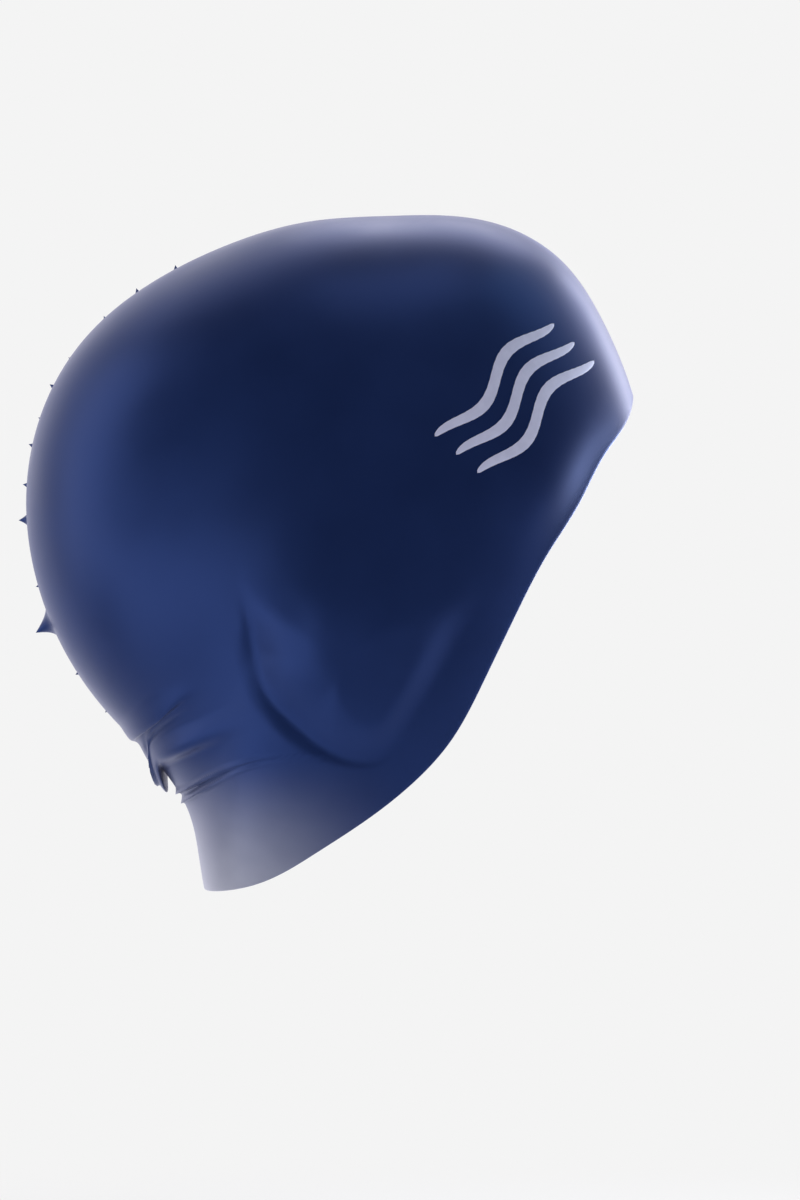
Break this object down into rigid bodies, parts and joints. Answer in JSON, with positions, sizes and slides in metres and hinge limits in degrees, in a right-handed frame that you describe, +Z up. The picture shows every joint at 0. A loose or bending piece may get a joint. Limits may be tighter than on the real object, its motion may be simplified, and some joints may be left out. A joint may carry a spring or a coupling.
{
  "type": "swim cap",
  "caption": "Moulded silicone swim cap in its worn shape, with raised ear pockets, a long nape skirt, pleats at the nape and small puckers down the back.",
  "frame": {"origin": "inside of the crown's top, where the cap sits on the wearer", "axes": "+X to the front of the cap, +Y to the wearer's left, +Z up with the wearer upright"},
  "size_m": [0.1997, 0.1552, 0.2177],
  "materials": {
    "silicone": "satin pearl navy silicone, smooth"
  },
  "bodies": {
    "root": {"cap_shell": "silicone"}
  },
  "joints": []
}
